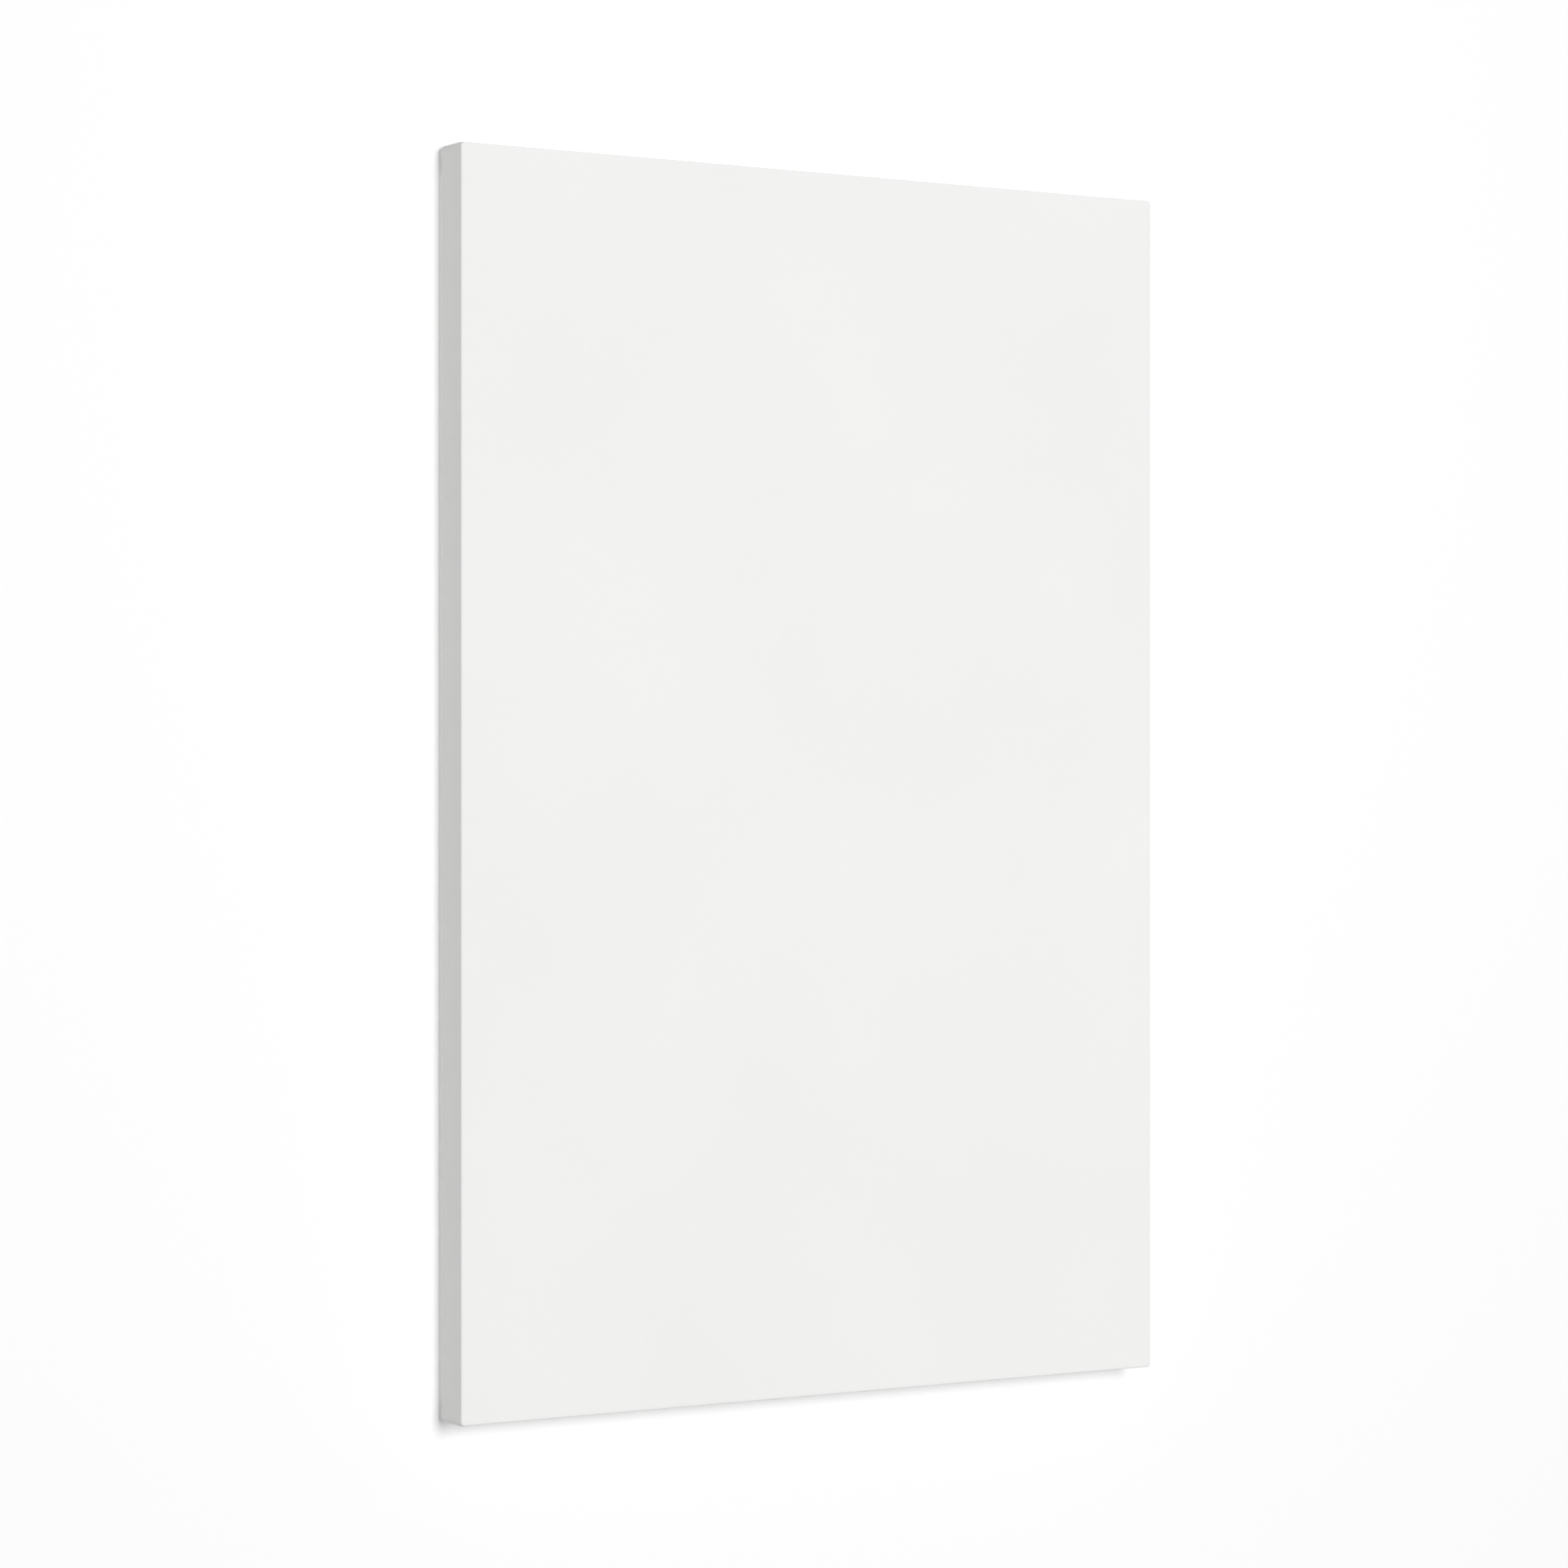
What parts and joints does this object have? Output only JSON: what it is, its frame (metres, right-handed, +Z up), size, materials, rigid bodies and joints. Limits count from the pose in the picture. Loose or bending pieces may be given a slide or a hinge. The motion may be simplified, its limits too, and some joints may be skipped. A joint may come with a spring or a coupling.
{
  "type": "stretched canvas",
  "caption": "Blank portrait canvas: primed cotton wrapped over a keyed pine stretcher with a cross brace, corner keys, staples, hanging rings and wall bumpers.",
  "frame": {"origin": "on the wall plane, straight behind the middle of the painting face", "axes": "+X across the face to the viewer's right, +Y back into the wall, +Z up; the painting face looks along -Y"},
  "size_m": [0.6096, 0.0353, 0.9144],
  "materials": {
    "cotton": "primed plain-weave cotton, matte",
    "pine": "planed, unfinished",
    "beech": "sawn, unfinished",
    "staple_wire": "galvanised wire",
    "zinc_plate": "zinc plated, satin",
    "bumper_rubber": "matte"
  },
  "bodies": {
    "frame": {"bar_top": "pine", "bar_bottom": "pine", "bar_left": "pine", "bar_right": "pine", "cross_brace": "pine", "canvas": "cotton", "staples_top": "staple_wire", "staples_bottom": "staple_wire", "staples_left": "staple_wire", "staples_right": "staple_wire", "hanger_strap_left": "zinc_plate", "hanger_strap_right": "zinc_plate", "hanger_screws_left": "zinc_plate", "hanger_screws_right": "zinc_plate", "bumper_top_left": "bumper_rubber", "bumper_top_right": "bumper_rubber", "bumper_bottom_left": "bumper_rubber", "bumper_bottom_right": "bumper_rubber"},
    "key_top_left_upper_body": {"key_top_left_upper": "beech"},
    "key_top_left_side_body": {"key_top_left_side": "beech"},
    "key_top_right_upper_body": {"key_top_right_upper": "beech"},
    "key_top_right_side_body": {"key_top_right_side": "beech"},
    "key_bottom_left_lower_body": {"key_bottom_left_lower": "beech"},
    "key_bottom_left_side_body": {"key_bottom_left_side": "beech"},
    "key_bottom_right_lower_body": {"key_bottom_right_lower": "beech"},
    "key_bottom_right_side_body": {"key_bottom_right_side": "beech"},
    "hanger_ring_left_body": {"hanger_ring_left": "zinc_plate"},
    "hanger_ring_right_body": {"hanger_ring_right": "zinc_plate"}
  },
  "joints": [
    {"name": "key_top_left_upper_slide", "type": "slide", "parent": "frame", "child": "key_top_left_upper_body", "axis": [0, 0, -1], "range_m": [0, 0.012]},
    {"name": "key_top_left_side_slide", "type": "slide", "parent": "frame", "child": "key_top_left_side_body", "axis": [1, 0, 0], "range_m": [0, 0.012]},
    {"name": "key_top_right_upper_slide", "type": "slide", "parent": "frame", "child": "key_top_right_upper_body", "axis": [0, 0, -1], "range_m": [0, 0.012]},
    {"name": "key_top_right_side_slide", "type": "slide", "parent": "frame", "child": "key_top_right_side_body", "axis": [-1, 0, 0], "range_m": [0, 0.012]},
    {"name": "key_bottom_left_lower_slide", "type": "slide", "parent": "frame", "child": "key_bottom_left_lower_body", "axis": [0, 0, 1], "range_m": [0, 0.012]},
    {"name": "key_bottom_left_side_slide", "type": "slide", "parent": "frame", "child": "key_bottom_left_side_body", "axis": [1, 0, 0], "range_m": [0, 0.012]},
    {"name": "key_bottom_right_lower_slide", "type": "slide", "parent": "frame", "child": "key_bottom_right_lower_body", "axis": [0, 0, 1], "range_m": [0, 0.012]},
    {"name": "key_bottom_right_side_slide", "type": "slide", "parent": "frame", "child": "key_bottom_right_side_body", "axis": [-1, 0, 0], "range_m": [0, 0.012]},
    {"name": "hanger_ring_left_hinge", "type": "hinge", "parent": "frame", "child": "hanger_ring_left_body", "pos_m": [-0.2755, -0.00212, 0.2292], "axis": [1, 0, 0], "range_deg": [0, 180]},
    {"name": "hanger_ring_right_hinge", "type": "hinge", "parent": "frame", "child": "hanger_ring_right_body", "pos_m": [0.2755, -0.00212, 0.2292], "axis": [1, 0, 0], "range_deg": [0, 180]}
  ]
}
